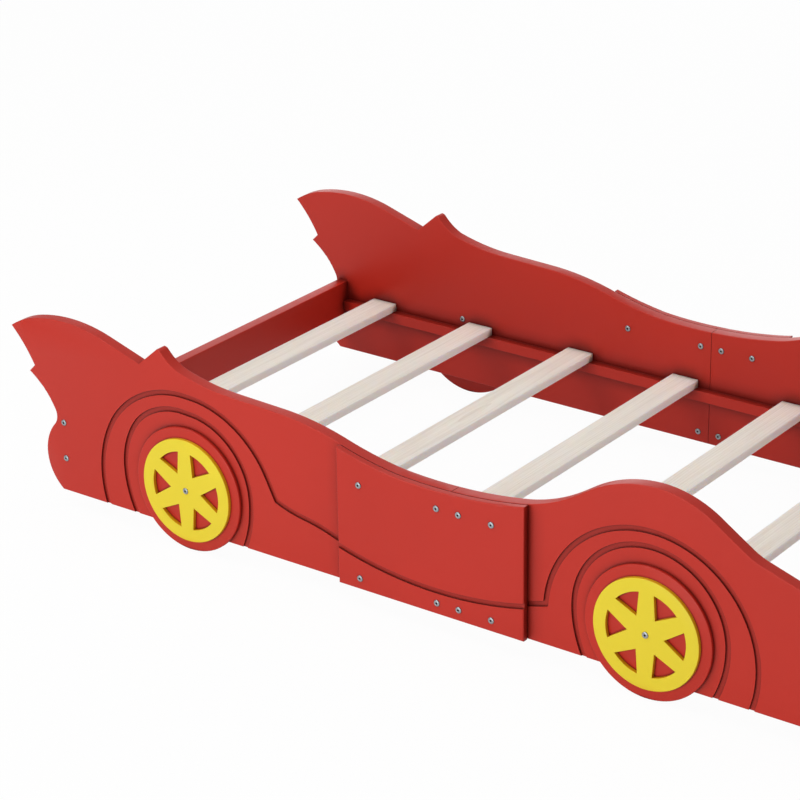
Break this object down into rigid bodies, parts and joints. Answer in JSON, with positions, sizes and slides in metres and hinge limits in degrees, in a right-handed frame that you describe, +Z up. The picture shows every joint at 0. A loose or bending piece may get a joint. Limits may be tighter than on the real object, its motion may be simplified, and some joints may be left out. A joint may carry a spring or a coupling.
{
  "type": "children's car bed",
  "caption": "Low children's bed in the form of a racing car: shaped red side panels with routed lines, bolted door plates, yellow spoked hubs on disc wheels, end boards and a slatted base.",
  "frame": {"origin": "On the floor, below the middle of the bed's outer length and width.", "axes": "+X towards the car's nose, +Y towards the car's left side, +Z up."},
  "size_m": [2.221, 1.0856, 0.4491],
  "materials": {
    "red_paint": "satin red paint on board, softly rounded edges",
    "yellow_paint": "satin yellow paint on board",
    "pale_wood": "planed pale softwood, lightly whitewashed",
    "zinc_steel": "zinc-plated steel, socket heads"
  },
  "bodies": {
    "root": {"panel_rear_left": "red_paint", "panel_front_left": "red_paint", "door_plate_left": "red_paint", "slat_rail_left": "red_paint", "tyre_rear_left": "red_paint", "hub_rear_left": "yellow_paint", "tyre_front_left": "red_paint", "hub_front_left": "yellow_paint", "door_bolts_left": "zinc_steel", "sleeve_nuts_left": "zinc_steel", "end_bolts_left": "zinc_steel", "hub_screws_left": "zinc_steel", "tyre_screws_left": "zinc_steel", "rail_dowels_left": "pale_wood", "panel_rear_right": "red_paint", "panel_front_right": "red_paint", "door_plate_right": "red_paint", "slat_rail_right": "red_paint", "tyre_rear_right": "red_paint", "hub_rear_right": "yellow_paint", "tyre_front_right": "red_paint", "hub_front_right": "yellow_paint", "door_bolts_right": "zinc_steel", "sleeve_nuts_right": "zinc_steel", "end_bolts_right": "zinc_steel", "hub_screws_right": "zinc_steel", "tyre_screws_right": "zinc_steel", "rail_dowels_right": "pale_wood", "rear_board": "red_paint", "front_board": "red_paint", "cross_nuts_rear": "zinc_steel", "cross_nuts_front": "zinc_steel", "slat_1": "pale_wood", "slat_2": "pale_wood", "slat_3": "pale_wood", "slat_4": "pale_wood", "slat_5": "pale_wood", "slat_6": "pale_wood", "slat_7": "pale_wood"}
  },
  "joints": []
}
